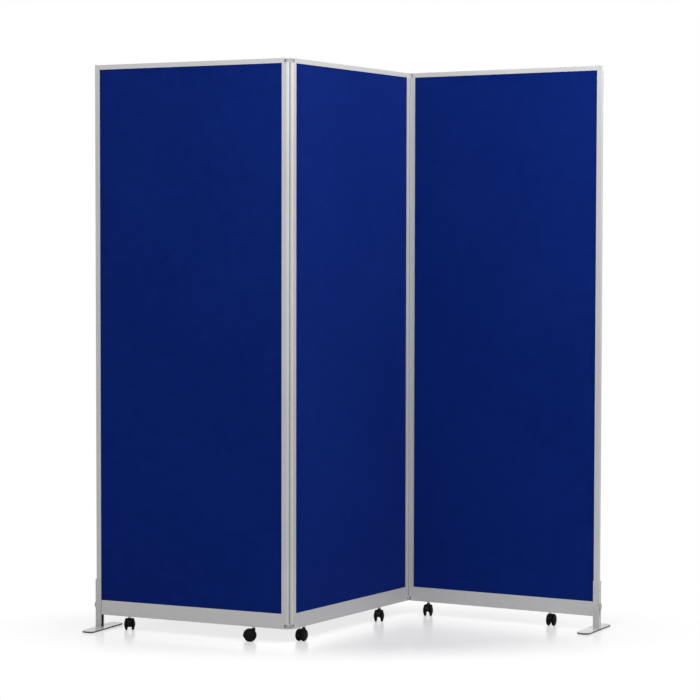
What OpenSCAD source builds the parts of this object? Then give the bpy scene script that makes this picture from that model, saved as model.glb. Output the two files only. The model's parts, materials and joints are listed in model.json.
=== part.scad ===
// Rolling partition: three framed fabric panels joined in a zigzag by two-pin hinges.
// Each panel runs on two twin-wheel casters, and a foot stands under each free end.
// Left and right are as seen from the front. +Z is up, and -Y is the front.
// The origin is on the floor, in the middle of the footprint's box.

/* [Panels] */
// Width of the fabric that shows in one panel
opening_w = 645; // [450:1:900]
// Height of the top edge above the floor
overall_h = 1800; // [1200:10:2100]
// Height of the frame's underside above the floor
floor_gap = 46; // [44:0.5:50]
// Thickness of the frame, front to back
frame_t = 14; // [13:0.5:18]
// Width of the plain stile at a free end
stile_w = 17; // [16:0.5:24]
// Height of the top rail
top_rail_h = 15; // [12:0.5:18]
// Height of the kick rail
kick_rail_h = 47; // [40:0.5:90]
// Wall thickness of the frame sections
wall = 1.5; // [1.2:0.1:1.6]

/* [Infill] */
// Thickness of the board behind the fabric
board_t = 9; // [6:0.5:9.5]
// Thickness of the fabric on each face of the board
fabric_t = 0.8; // [0.4:0.1:1]
// Depth of the groove that holds the board
groove_d = 6; // [5:0.5:6]
// How far the board reaches into the groove
groove_hold = 5; // [3:0.5:5]

/* [Fold] */
// Turn of the middle panel away from facing the front
middle_turn = 56.7; // [40:0.1:65]
// Fold at the left hinge, measured from straight
left_fold = 81.5; // [20:0.1:120]
// Fold at the right hinge, measured from straight
right_fold = 85.3; // [20:0.1:120]

/* [Hinges] */
// Distance from the fabric's edge to the hinge pin
pin_in = 15; // [15:0.5:20]
// Running gap between two rounded stiles
nose_gap = 0.5; // [0.4:0.1:1.5]
// Height of a corner block
block_h = 18; // [17:1:20]
// Height of the slot that a link turns in
slot_h = 9; // [8:0.5:10]
// Thickness of a link
link_t = 6; // [5:0.5:7]
// Radius of a hinge pin
pin_r = 2.5; // [2:0.1:3]

/* [Casters] */
// Diameter of a wheel
wheel_d = 39; // [36:0.5:39]
// Distance from the stem to the axle
trail = 12; // [10:0.5:13]
// First caster's distance from a hinge pin
caster_first = 68; // [60:1:80]
// Second place of a caster, staggered so that folded panels clear each other
caster_mid = 115; // [110:1:125]
// Third place of a caster
caster_last = 168; // [160:1:180]
// Radius of the caster's stem
stem_r = 3.5; // [3:0.1:4]
// Radius of the caster's axle
axle_r = 2.5; // [2:0.1:3]

/* [Feet] */
// Length of a foot plate, front to back
plate_l = 200; // [160:5:260]
// Width of a foot plate
plate_w = 45; // [40:1:50]
// How far a foot plate stands out past its stile
plate_out = 4.3; // [3:0.1:8]
// Thickness of a foot plate
plate_t = 4.5; // [3:0.5:6]
// Thickness of the rubber pad under a plate
pad_t = 1.5; // [1:0.5:3]
// Height of the sleeve's top above the floor
sleeve_top = 160; // [120:5:200]
// Thickness of the sleeve's wall
sleeve_t = 2; // [1.5:0.25:2.5]
// Height of the clamp knob above the floor
knob_z = 77; // [72:1:79]
// Radius of the clamp knob
knob_r = 12; // [10:0.5:15]
// How far a foot can be raised
foot_lift = 30; // [10:1:32]

/* [Hidden] */
$fn = 64;

// Running clearances: between a pin and its bore, and between sliding faces
run_gap = 0.05;
slide_gap = 0.3;
// A cut starts this far outside the solid that it cuts
over = 1;

// Frame sections
half_t = frame_t / 2;
edge_r = 1;
groove_w = board_t + 2 * fabric_t + 0.2;
chamber_in = groove_d + wall;
chamber_half = half_t - wall;
frame_h = overall_h - floor_gap;
opening_h = frame_h - top_rail_h - kick_rail_h;
kick_top = floor_gap + kick_rail_h;
kick_web_z = 20;
stile_h = frame_h - 2 * block_h;
board_w = opening_w + 2 * groove_hold;
board_h = opening_h + 2 * groove_hold;

// Corner blocks
fit_gap = 0.1;
spigot_l = 20;
tongue_l = 25;
slot_z = (block_h - slot_h) / 2;
link_r = 6;
slot_in = pin_in - link_r - 0.6;
tongue_z0 = block_h - top_rail_h + chamber_in + fit_gap;
tongue_z1 = block_h - wall - fit_gap;
notch_h = block_h - top_rail_h + groove_d;

// Turn of each panel, and of each hinge's links, about +Z
turns = [middle_turn - left_fold, middle_turn, middle_turn - right_fold];
link_turns = [(turns[0] + turns[1]) / 2, (turns[1] + turns[2]) / 2];
link_l = frame_t + nose_gap;

// Plan of the three panels, first with the middle panel's left pin at [0, 0]
function dir(a) = [cos(a), sin(a)];
left_pins = [-link_l * dir(link_turns[0]), [0, 0]];
right_pin = (opening_w + 2 * pin_in) * dir(turns[1]);
right_pins = [right_pin, right_pin + link_l * dir(link_turns[1])];
starts = [
    left_pins[0] - (opening_w + pin_in) * dir(turns[0]),
    pin_in * dir(turns[1]),
    right_pins[1] + pin_in * dir(turns[2])
];
function in_plan(i, p) = starts[i] + p[0] * dir(turns[i]) + p[1] * dir(turns[i] + 90);

// Feet, in the frame of a panel whose outer edge is at x = 0 and whose inside is +x
plate_r = 18;
pad_in = 5;
plate_x0 = -plate_out;
plate_x1 = plate_w - plate_out;
sleeve_out = slide_gap + sleeve_t;
sleeve_half = half_t + slide_gap + sleeve_t;
stud_r = 3;
knob_t = 2;
sleeve_lap = 1;
knob_out = sleeve_out + slide_gap + knob_t;
foot_rounds = [for (x = [plate_x0 + plate_r, plate_x1 - plate_r], s = [-1, 1])
    [x, s * (plate_l / 2 - plate_r)]];

// The footprint's box: round ends of the plates, the knobs and the hinge stiles
function left_end(p) = in_plan(0, [p[0] - stile_w, p[1]]);
function right_end(p) = in_plan(2, [opening_w + stile_w - p[0], p[1]]);
knob_ends = [[-knob_out, -knob_r], [-knob_out, knob_r]];
rounds = concat(
    [for (p = foot_rounds) [left_end(p), plate_r]],
    [for (p = foot_rounds) [right_end(p), plate_r]],
    [for (p = knob_ends) [left_end(p), 0]],
    [for (p = knob_ends) [right_end(p), 0]],
    [for (p = concat(left_pins, right_pins)) [p, half_t]]
);
function low(k) = min([for (c = rounds) c[0][k] - c[1]]);
function high(k) = max([for (c = rounds) c[0][k] + c[1]]);
centre = [(low(0) + high(0)) / 2, (low(1) + high(1)) / 2];

// Casters: which panel, place along it, and the way the wheels trail at rest
pin_span = opening_w + 2 * pin_in;
CASTERS = [
    [0, pin_in + opening_w - (pin_span - caster_mid), 91],
    [0, pin_in + opening_w - caster_mid, 190],
    [1, caster_first - pin_in, 237],
    [1, opening_w + pin_in - caster_last, 264],
    [2, caster_first - pin_in, 260],
    [2, pin_span - caster_last - pin_in, 65]
];

// Caster section
axle_z = wheel_d / 2;
boss_r = 5.5;
boss_top = floor_gap - 4;
socket_flange = 1.5;
socket_r = chamber_half;
socket_top = floor_gap + kick_web_z;
stem_z0 = 24;
stem_z1 = socket_top - 2;
body_half = 6.7;
web_r = 20.5;
web_z = 13;
arch_r = 6.2;
arch_z = 9;
arch_tilt = 9;
wheel_in = 7;
wheel_out = 18.2;
tread_r = 3.8;
dome_r = 30;
hub_r = 5.5;
dish_r = 15;
dish_y = 11.5;
axle_half = 14.5;

// Places
module in_panel(i) {
    translate([starts[i][0] - centre[0], starts[i][1] - centre[1], 0])
        rotate([0, 0, turns[i]])
            children();
}

// Stands at the panel's left edge, or mirrored at its right edge, with +x into the panel
module at_side(right) {
    if (right)
        translate([opening_w, 0, 0]) mirror([1, 0, 0]) children();
    else
        children();
}

module at_caster(n) {
    in_panel(CASTERS[n][0])
        translate([CASTERS[n][1], 0, 0])
            children();
}

// Turned so that +x is the way the wheels trail
module at_trail(n) {
    at_caster(n)
        rotate([0, 0, CASTERS[n][2] - turns[CASTERS[n][0]]])
            children();
}

// At the bottom corner as made, and upside down at the top corner
module at_corners() {
    translate([0, 0, floor_gap + block_h]) mirror([0, 0, 1]) children();
    translate([0, 0, overall_h - block_h]) children();
}

// Frame sections in plan: x = 0 is the edge that the fabric meets, and -x is outwards
module plain_outline(grow = 0) {
    r = edge_r;
    translate([-stile_w + r - grow, -half_t - grow]) square([stile_w - r + grow, frame_t + 2 * grow]);
    translate([-stile_w - grow, -half_t + r]) square([stile_w, frame_t - 2 * r]);
    for (s = [-1, 1])
        translate([-stile_w + r - grow, s * (half_t - r + grow)]) circle(r = r);
}

module plain_chamber(gap = 0) {
    translate([-stile_w + wall + gap, -chamber_half + gap])
        square([stile_w - wall - chamber_in - 2 * gap, 2 * (chamber_half - gap)]);
}

module nose_outline() {
    translate([-pin_in, -half_t]) square([pin_in, frame_t]);
    translate([-pin_in, 0]) circle(r = half_t);
}

module nose_chamber(gap = 0) {
    translate([-pin_in, -chamber_half + gap])
        square([pin_in - chamber_in - gap, 2 * (chamber_half - gap)]);
    translate([-pin_in, 0]) circle(r = chamber_half - gap);
}

module board_groove() {
    translate([-groove_d, -groove_w / 2]) square([groove_d + over, groove_w]);
}

// Frame sections on end: x is the thickness and y is the height
module top_rail_section() {
    difference() {
        union() {
            translate([-half_t, 0]) square([frame_t, top_rail_h - edge_r]);
            translate([-half_t + edge_r, 0]) square([frame_t - 2 * edge_r, top_rail_h]);
            for (s = [-1, 1])
                translate([s * (half_t - edge_r), top_rail_h - edge_r]) circle(r = edge_r);
        }
        translate([-groove_w / 2, -over]) square([groove_w, groove_d + over]);
        translate([-chamber_half, chamber_in])
            square([2 * chamber_half, top_rail_h - wall - chamber_in]);
    }
}

module kick_rail_section() {
    low_h = kick_web_z - wall;
    high_z = kick_web_z + wall;
    difference() {
        union() {
            translate([-half_t, edge_r]) square([frame_t, kick_rail_h - edge_r]);
            translate([-half_t + edge_r, 0]) square([frame_t - 2 * edge_r, kick_rail_h]);
            for (s = [-1, 1])
                translate([s * (half_t - edge_r), edge_r]) circle(r = edge_r);
        }
        translate([-groove_w / 2, kick_rail_h - groove_d]) square([groove_w, groove_d + over]);
        translate([-chamber_half, wall]) square([2 * chamber_half, low_h]);
        translate([-chamber_half, high_z])
            square([2 * chamber_half, kick_rail_h - chamber_in - high_z]);
    }
}

// Pieces of a panel
module plain_stile() {
    color("silver")
        difference() {
            translate([0, 0, floor_gap + block_h])
                linear_extrude(stile_h)
                    difference() {
                        plain_outline();
                        plain_chamber();
                        board_groove();
                    }
            translate([-stile_w - over, 0, knob_z])
                rotate([0, 90, 0]) cylinder(r = stud_r + run_gap, h = wall + 2 * over);
        }
}

module nose_stile() {
    color("silver")
        translate([0, 0, floor_gap + block_h])
            linear_extrude(stile_h)
                difference() {
                    nose_outline();
                    nose_chamber();
                    board_groove();
                }
}

module top_rail() {
    color("silver")
        translate([0, 0, overall_h - top_rail_h])
            rotate([90, 0, 90]) linear_extrude(opening_w) top_rail_section();
}

// Drilled for the sockets of the two casters that stand under this panel
module kick_rail(i) {
    color("darkgray")
        difference() {
            translate([0, 0, floor_gap])
                rotate([90, 0, 90]) linear_extrude(opening_w) kick_rail_section();
            for (c = CASTERS)
                if (c[0] == i)
                    translate([c[1], 0, floor_gap - over]) cylinder(r = socket_r, h = wall + 2 * over);
        }
}

module board() {
    color("tan")
        translate([-groove_hold, -board_t / 2, kick_top - groove_hold])
            cube([board_w, board_t, board_h]);
}

// One cloth on the front of the board and one on the back
module fabric() {
    color("midnightblue")
        for (y = [-board_t / 2 - fabric_t, board_t / 2])
            translate([-groove_hold, y, kick_top - groove_hold])
                cube([board_w, fabric_t, board_h]);
}

// The tongue goes into the rail, and the notch lets the board pass
module block_tongue() {
    translate([-over, -chamber_half + fit_gap, tongue_z0])
        cube([tongue_l + over, 2 * (chamber_half - fit_gap), tongue_z1 - tongue_z0]);
}

module board_notch() {
    translate([0, 0, -over]) linear_extrude(notch_h + over) board_groove();
}

// Plain corner: the clamp knob's stud screws into the lower one's spigot
module plain_block() {
    difference() {
        union() {
            linear_extrude(block_h) plain_outline();
            translate([0, 0, -spigot_l])
                linear_extrude(spigot_l + over) plain_chamber(fit_gap);
            block_tongue();
        }
        board_notch();
        translate([-stile_w - over, 0, floor_gap + block_h - knob_z])
            rotate([0, 90, 0])
                cylinder(r = stud_r + run_gap, h = stile_w - chamber_in + over + 0.5);
    }
}

// Hinge corner: two ears that a link turns between, bored for its pin
module nose_block() {
    difference() {
        union() {
            linear_extrude(block_h) nose_outline();
            translate([0, 0, -spigot_l])
                linear_extrude(spigot_l + over) nose_chamber(fit_gap);
            block_tongue();
        }
        board_notch();
        translate([-pin_in - half_t - over, -half_t - over, slot_z])
            cube([half_t + over + pin_in - slot_in, frame_t + 2 * over, slot_h]);
        translate([-pin_in, 0, -spigot_l - over])
            cylinder(r = pin_r + run_gap, h = spigot_l + block_h + 2 * over);
    }
}

module plain_blocks() {
    color("gray") at_corners() plain_block();
}

module nose_blocks() {
    color("gray") at_corners() nose_block();
}

// A flanged bush in the kick rail's underside, bored for a caster's stem
module caster_socket() {
    color("lightgray")
        difference() {
            union() {
                translate([0, 0, floor_gap - socket_flange])
                    cylinder(r = socket_r + 0.5, h = socket_flange);
                translate([0, 0, floor_gap]) cylinder(r = socket_r, h = socket_top - floor_gap);
            }
            translate([0, 0, floor_gap - socket_flange - over])
                cylinder(r = stem_r + run_gap, h = socket_top - floor_gap + socket_flange + 2 * over);
        }
}

module caster_sockets(i) {
    for (n = [0 : len(CASTERS) - 1])
        if (CASTERS[n][0] == i)
            at_caster(n) caster_socket();
}

// Hinge pieces: h is 0 for the left hinge and 1 for the right one
module at_link(h) {
    pins = h == 0 ? left_pins : right_pins;
    translate([pins[0][0] - centre[0], pins[0][1] - centre[1], 0])
        rotate([0, 0, link_turns[h]])
            for (z = [floor_gap + block_h / 2, overall_h - block_h / 2])
                translate([0, 0, z])
                    children();
}

module hinge_links(h) {
    color("dimgray")
        at_link(h)
            difference() {
                union() {
                    for (x = [0, link_l])
                        translate([x, 0, -link_t / 2]) cylinder(r = link_r, h = link_t);
                    translate([0, -link_r, -link_t / 2]) cube([link_l, 2 * link_r, link_t]);
                }
                for (x = [0, link_l])
                    translate([x, 0, -link_t]) cylinder(r = pin_r, h = 2 * link_t);
            }
}

module hinge_pins(h) {
    color("lightsteelblue")
        at_link(h)
            for (x = [0, link_l])
                translate([x, 0, -block_h / 2]) cylinder(r = pin_r, h = block_h);
}

// Caster pieces, with the stem on the z axis and the wheels trailing along +x
module caster_body() {
    color("black")
        difference() {
            union() {
                intersection() {
                    translate([trail, body_half, axle_z])
                        rotate([90, 0, 0]) cylinder(r = web_r, h = 2 * body_half);
                    translate([-web_r, -body_half, web_z]) cube([3 * web_r, 2 * body_half, 2 * web_r]);
                }
                translate([0, 0, web_z]) cylinder(r = boss_r, h = boss_top - web_z - 1);
                translate([0, 0, boss_top - 1]) cylinder(r1 = boss_r, r2 = boss_r - 1, h = 1);
            }
            translate([trail, 0, arch_z])
                rotate([0, 90 - arch_tilt, 0]) cylinder(r = arch_r, h = 3 * web_r, center = true);
            translate([0, 0, stem_z0]) cylinder(r = stem_r, h = boss_top);
            translate([trail, body_half + over, axle_z])
                rotate([90, 0, 0]) cylinder(r = axle_r, h = 2 * (body_half + over));
        }
}

// The stem has a groove for its retaining ring near the top
module caster_pins() {
    groove_z = stem_z1 - 7;
    color("lightsteelblue") {
        translate([0, 0, stem_z0]) cylinder(r = stem_r, h = groove_z - stem_z0);
        translate([0, 0, groove_z]) cylinder(r = stem_r - 0.7, h = 2);
        translate([0, 0, groove_z + 2]) cylinder(r = stem_r, h = stem_z1 - groove_z - 3);
        translate([0, 0, stem_z1 - 1]) cylinder(r1 = stem_r, r2 = stem_r - 1, h = 1);
        translate([trail, axle_half, axle_z])
            rotate([90, 0, 0]) cylinder(r = axle_r, h = 2 * axle_half);
    }
}

// Section of a wheel: x is the radius and y is the distance from the caster's middle
module wheel_section() {
    difference() {
        union() {
            intersection() {
                translate([0, wheel_in]) square([axle_z - tread_r, wheel_out - wheel_in]);
                translate([0, wheel_out - dome_r]) circle(r = dome_r, $fn = 180);
            }
            translate([axle_z - tread_r, wheel_in + tread_r]) circle(r = tread_r);
        }
        translate([hub_r, wheel_in - over]) square([dish_r - hub_r, dish_y - wheel_in + over]);
        translate([-over, wheel_in - over])
            square([axle_r + run_gap + over, axle_half + 0.2 - wheel_in + over]);
    }
}

// side is 1 for the wheel on the +y side of the caster and -1 for the other
module caster_wheel(side) {
    color("black")
        translate([trail, 0, axle_z])
            rotate([-90 * side, 0, 0])
                rotate_extrude() wheel_section();
}

// Foot pieces, with the panel's outer edge at x = 0 and its inside along +x
module plate_outline(inset = 0) {
    r = plate_r - inset;
    translate([plate_x0 + plate_r, -plate_l / 2 + inset])
        square([plate_w - 2 * plate_r, plate_l - 2 * inset]);
    translate([plate_x0 + inset, -plate_l / 2 + plate_r])
        square([plate_w - 2 * inset, plate_l - 2 * plate_r]);
    for (p = foot_rounds)
        translate(p) circle(r = r);
}

// A channel that slides on the stile, slotted for the clamp knob, on its floor plate
module foot() {
    slot_half = stud_r + slide_gap;
    color("lightgray") {
        translate([0, 0, pad_t]) linear_extrude(plate_t) plate_outline();
        difference() {
            translate([-sleeve_out, -sleeve_half, pad_t + plate_t])
                cube([sleeve_out + stile_w + sleeve_lap, 2 * sleeve_half, sleeve_top - pad_t - plate_t]);
            translate([-slide_gap, -half_t - slide_gap, 0])
                cube([2 * stile_w, frame_t + 2 * slide_gap, sleeve_top + over]);
            translate([-sleeve_out - over, -slot_half, knob_z - foot_lift])
                cube([sleeve_out + over, 2 * slot_half, foot_lift]);
            for (z = [knob_z - foot_lift, knob_z])
                translate([-sleeve_out - over, 0, z])
                    rotate([0, 90, 0]) cylinder(r = slot_half, h = sleeve_out + over);
        }
    }
}

module foot_pad() {
    color("black") linear_extrude(pad_t) plate_outline(pad_in);
}

// Scalloped head outside the sleeve, and a stud through its slot into the corner block
module foot_knob() {
    scallops = 10;
    scallop_r = 2.4;
    stud_in = 6;
    color("dimgray")
        translate([-knob_out, 0, knob_z])
            rotate([0, 90, 0]) {
                difference() {
                    cylinder(r = knob_r, h = knob_t);
                    for (k = [0 : scallops - 1])
                        rotate([0, 0, k * 360 / scallops])
                            translate([knob_r + 1, 0, -over]) cylinder(r = scallop_r, h = knob_t + 2 * over);
                }
                translate([0, 0, knob_t]) cylinder(r = stud_r, h = knob_out - knob_t + stud_in);
            }
}

module at_foot(right) {
    in_panel(right ? 2 : 0)
        at_side(right)
            translate([-stile_w, 0, 0]) children();
}

// Left panel
module left_outer_stile() { in_panel(0) plain_stile(); }
module left_hinge_stile() { in_panel(0) at_side(true) nose_stile(); }
module left_top_rail() { in_panel(0) top_rail(); }
module left_kick_rail() { in_panel(0) kick_rail(0); }
module left_board() { in_panel(0) board(); }
module left_fabric() { in_panel(0) fabric(); }
module left_corner_blocks() {
    in_panel(0) {
        plain_blocks();
        at_side(true) nose_blocks();
    }
}
module left_caster_sockets() { caster_sockets(0); }

// Middle panel
module middle_left_stile() { in_panel(1) nose_stile(); }
module middle_right_stile() { in_panel(1) at_side(true) nose_stile(); }
module middle_top_rail() { in_panel(1) top_rail(); }
module middle_kick_rail() { in_panel(1) kick_rail(1); }
module middle_board() { in_panel(1) board(); }
module middle_fabric() { in_panel(1) fabric(); }
module middle_corner_blocks() {
    in_panel(1) {
        nose_blocks();
        at_side(true) nose_blocks();
    }
}
module middle_caster_sockets() { caster_sockets(1); }

// Right panel
module right_hinge_stile() { in_panel(2) nose_stile(); }
module right_outer_stile() { in_panel(2) at_side(true) plain_stile(); }
module right_top_rail() { in_panel(2) top_rail(); }
module right_kick_rail() { in_panel(2) kick_rail(2); }
module right_board() { in_panel(2) board(); }
module right_fabric() { in_panel(2) fabric(); }
module right_corner_blocks() {
    in_panel(2) {
        nose_blocks();
        at_side(true) plain_blocks();
    }
}
module right_caster_sockets() { caster_sockets(2); }

// Hinges
module left_hinge_links() { hinge_links(0); }
module left_hinge_pins() { hinge_pins(0); }
module right_hinge_links() { hinge_links(1); }
module right_hinge_pins() { hinge_pins(1); }

// Casters, from left to right
module caster_1_body() { at_trail(0) caster_body(); }
module caster_1_pins() { at_trail(0) caster_pins(); }
module caster_1_wheel_a() { at_trail(0) caster_wheel(1); }
module caster_1_wheel_b() { at_trail(0) caster_wheel(-1); }
module caster_2_body() { at_trail(1) caster_body(); }
module caster_2_pins() { at_trail(1) caster_pins(); }
module caster_2_wheel_a() { at_trail(1) caster_wheel(1); }
module caster_2_wheel_b() { at_trail(1) caster_wheel(-1); }
module caster_3_body() { at_trail(2) caster_body(); }
module caster_3_pins() { at_trail(2) caster_pins(); }
module caster_3_wheel_a() { at_trail(2) caster_wheel(1); }
module caster_3_wheel_b() { at_trail(2) caster_wheel(-1); }
module caster_4_body() { at_trail(3) caster_body(); }
module caster_4_pins() { at_trail(3) caster_pins(); }
module caster_4_wheel_a() { at_trail(3) caster_wheel(1); }
module caster_4_wheel_b() { at_trail(3) caster_wheel(-1); }
module caster_5_body() { at_trail(4) caster_body(); }
module caster_5_pins() { at_trail(4) caster_pins(); }
module caster_5_wheel_a() { at_trail(4) caster_wheel(1); }
module caster_5_wheel_b() { at_trail(4) caster_wheel(-1); }
module caster_6_body() { at_trail(5) caster_body(); }
module caster_6_pins() { at_trail(5) caster_pins(); }
module caster_6_wheel_a() { at_trail(5) caster_wheel(1); }
module caster_6_wheel_b() { at_trail(5) caster_wheel(-1); }

// Feet
module left_foot() { at_foot(false) foot(); }
module left_foot_pad() { at_foot(false) foot_pad(); }
module left_foot_knob() { at_foot(false) foot_knob(); }
module right_foot() { at_foot(true) foot(); }
module right_foot_pad() { at_foot(true) foot_pad(); }
module right_foot_knob() { at_foot(true) foot_knob(); }

left_outer_stile();
left_hinge_stile();
left_top_rail();
left_kick_rail();
left_board();
left_fabric();
left_corner_blocks();
left_caster_sockets();
middle_left_stile();
middle_right_stile();
middle_top_rail();
middle_kick_rail();
middle_board();
middle_fabric();
middle_corner_blocks();
middle_caster_sockets();
right_hinge_stile();
right_outer_stile();
right_top_rail();
right_kick_rail();
right_board();
right_fabric();
right_corner_blocks();
right_caster_sockets();
left_hinge_links();
left_hinge_pins();
right_hinge_links();
right_hinge_pins();
caster_1_body();
caster_1_pins();
caster_1_wheel_a();
caster_1_wheel_b();
caster_2_body();
caster_2_pins();
caster_2_wheel_a();
caster_2_wheel_b();
caster_3_body();
caster_3_pins();
caster_3_wheel_a();
caster_3_wheel_b();
caster_4_body();
caster_4_pins();
caster_4_wheel_a();
caster_4_wheel_b();
caster_5_body();
caster_5_pins();
caster_5_wheel_a();
caster_5_wheel_b();
caster_6_body();
caster_6_pins();
caster_6_wheel_a();
caster_6_wheel_b();
left_foot();
left_foot_pad();
left_foot_knob();
right_foot();
right_foot_pad();
right_foot_knob();
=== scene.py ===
# %% [markdown]
# # A rolling partition
# Three framed fabric panels stand in a zigzag. Two-pin hinges join them, each panel runs on
# two twin-wheel casters, and a steel foot stands under each free end.
# The frame file holds the rigid solids in metres. This lesson dresses them: cloth, soft
# edges, moulded wheels, a weld and a finish for each surface.

# %% Load the rigid frame
import json
import math

import bmesh
import bpy
from mathutils import Matrix, Vector

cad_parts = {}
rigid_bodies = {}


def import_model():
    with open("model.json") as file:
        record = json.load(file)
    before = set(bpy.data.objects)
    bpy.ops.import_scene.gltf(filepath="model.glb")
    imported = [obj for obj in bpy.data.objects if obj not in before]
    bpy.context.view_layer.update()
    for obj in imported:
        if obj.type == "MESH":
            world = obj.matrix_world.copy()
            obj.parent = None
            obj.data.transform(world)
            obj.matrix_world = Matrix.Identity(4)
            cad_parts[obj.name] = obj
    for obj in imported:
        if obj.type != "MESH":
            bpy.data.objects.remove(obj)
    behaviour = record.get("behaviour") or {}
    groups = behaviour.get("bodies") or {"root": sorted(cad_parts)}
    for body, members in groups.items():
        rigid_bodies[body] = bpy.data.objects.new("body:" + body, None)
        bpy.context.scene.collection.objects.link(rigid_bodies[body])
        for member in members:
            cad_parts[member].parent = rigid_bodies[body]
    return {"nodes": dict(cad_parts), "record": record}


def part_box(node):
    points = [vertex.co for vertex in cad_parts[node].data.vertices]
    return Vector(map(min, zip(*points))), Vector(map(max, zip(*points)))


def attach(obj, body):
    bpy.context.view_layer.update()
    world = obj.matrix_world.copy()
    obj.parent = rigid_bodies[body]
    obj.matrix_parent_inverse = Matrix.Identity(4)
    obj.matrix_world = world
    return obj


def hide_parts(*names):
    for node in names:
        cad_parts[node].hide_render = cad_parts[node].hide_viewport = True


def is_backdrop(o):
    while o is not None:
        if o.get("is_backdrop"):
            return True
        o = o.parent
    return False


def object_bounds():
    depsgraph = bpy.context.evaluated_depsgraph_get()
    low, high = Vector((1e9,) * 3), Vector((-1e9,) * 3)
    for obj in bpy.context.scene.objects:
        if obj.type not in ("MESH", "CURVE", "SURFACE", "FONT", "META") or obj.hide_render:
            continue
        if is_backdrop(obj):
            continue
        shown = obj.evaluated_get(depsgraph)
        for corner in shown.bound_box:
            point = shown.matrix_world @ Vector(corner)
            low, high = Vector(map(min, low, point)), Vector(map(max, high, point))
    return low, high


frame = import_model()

NODES = frame["nodes"]
cad_low, cad_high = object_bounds()
print("frame box", [round(v, 4) for v in cad_low], [round(v, 4) for v in cad_high])

# %% [markdown]
# ## The camera
# The camera comes first, because everything is judged through it. Its place and lens were
# found by matching the straight edges of the three panels, so they are plain numbers here.
# It stands about seven metres away, at chest height, and looks a little down.

# %% Set the camera
IMAGE_SIDE = 700
SENSOR_MM = 36
FOCAL_PIXELS = 2202.95
CAMERA_AT = Vector((-0.02195, -7.03852, 1.20739))
CAMERA_TURN = math.radians(-0.1985)
CAMERA_DOWN = math.radians(2.5345)
CAMERA_ROLL = math.radians(0.1079)

lens = bpy.data.cameras.new("camera")
lens.sensor_width = SENSOR_MM
lens.lens = SENSOR_MM * FOCAL_PIXELS / IMAGE_SIDE
lens.clip_start = 0.1
lens.clip_end = 60
camera = bpy.data.objects.new("camera", lens)
bpy.context.scene.collection.objects.link(camera)
camera.matrix_world = (
    Matrix.Translation(CAMERA_AT)
    @ Matrix.Rotation(CAMERA_TURN, 4, "Z")
    @ Matrix.Rotation(math.pi / 2 - CAMERA_DOWN, 4, "X")
    @ Matrix.Rotation(CAMERA_ROLL, 4, "Z")
)
bpy.context.scene.camera = camera
print("lens", round(lens.lens, 2), "mm")

# %% [markdown]
# ## The plan
# The panels are turned to three different headings, so each piece is made in its own panel's
# frame: x runs along the panel from the fabric's left edge, y goes back through it, and z is
# up. The headings and widths are those of the solids, and the corner of each panel is found
# from its own top rail, so nothing has to be fitted by eye.

# %% Find each panel's frame
PANELS = ("left", "middle", "right")
OPENING_W = 0.645
STILE_W = 0.017
KICK_TOP = 0.093
TOP_EDGE = 1.785
MIDDLE_TURN = 56.7
LEFT_FOLD = 81.5
RIGHT_FOLD = 85.3
TURN = {"left": MIDDLE_TURN - LEFT_FOLD, "middle": MIDDLE_TURN, "right": MIDDLE_TURN - RIGHT_FOLD}


def panel_frame(name):
    """Turns a panel's own coordinates into the scene's."""
    low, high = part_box(f"{name}_top_rail")
    middle = Vector(((low[0] + high[0]) / 2, (low[1] + high[1]) / 2, 0))
    return (
        Matrix.Translation(middle)
        @ Matrix.Rotation(math.radians(TURN[name]), 4, "Z")
        @ Matrix.Translation((-OPENING_W / 2, 0, 0))
    )


AT = {name: panel_frame(name) for name in PANELS}
for name in PANELS:
    print(name, "panel starts at", [round(v, 4) for v in AT[name].translation])

# %% [markdown]
# ## Small helpers
# Blender keeps a mesh's shape in a mesh block and its place in an object. The pieces here
# keep their objects at the origin, unturned, with the place in the mesh, which is what the
# frame asks for. One helper links a finished mesh, and one reads a plain mesh back from an
# object whose modifiers are still live.

# %% Make the helpers
def link(name, mesh):
    """Puts a mesh in the scene as a new object at the origin."""
    thing = bpy.data.objects.new(name, mesh)
    bpy.context.scene.collection.objects.link(thing)
    return thing


def settle(thing):
    """Applies an object's modifiers, and leaves a plain mesh."""
    graph = bpy.context.evaluated_depsgraph_get()
    result = bpy.data.meshes.new_from_object(thing.evaluated_get(graph), depsgraph=graph)
    result.name = thing.name
    thing.modifiers.clear()
    old = thing.data
    thing.data = result
    if old.users == 0:
        bpy.data.meshes.remove(old)


def smooth(mesh, crease):
    """Shades a mesh smooth, but for edges sharper than the crease in degrees."""
    mesh.polygons.foreach_set("use_smooth", [True] * len(mesh.polygons))
    shape = bmesh.new()
    shape.from_mesh(mesh)
    for edge in shape.edges:
        shared = len(edge.link_faces) == 2
        edge.smooth = shared and edge.calc_face_angle(0) < math.radians(crease)
    shape.to_mesh(mesh)
    shape.free()


def body_of_node(node):
    """Names the body that a solid belongs to."""
    for body, members in frame["record"]["behaviour"]["bodies"].items():
        if node in members:
            return body
    raise KeyError(node)


print("helpers ready")

# %% [markdown]
# ## Node helpers
# Trees are built from short calls. One helper adds any node and joins or fills its inputs, and
# the others add the few nodes that nearly every tree needs.

# %% Make the node helpers
def fill(tree, socket, value):
    """Joins a socket to another one, or types a value into it."""
    if isinstance(value, bpy.types.NodeSocket):
        tree.links.new(value, socket)
    else:
        socket.default_value = value


def node(tree, kind, inputs=(), **settings):
    """Adds a node, sets it up, and joins or fills its inputs."""
    made = tree.nodes.new(kind)
    for key, value in settings.items():
        setattr(made, key, value)
    for where, value in dict(inputs).items():
        fill(tree, made.inputs[where], value)
    return made


def maths(tree, operation, *values, clamp=False):
    """A Math node, whose result comes back as a socket."""
    made = node(tree, "ShaderNodeMath", enumerate(values), operation=operation, use_clamp=clamp)
    return made.outputs[0]


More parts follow.
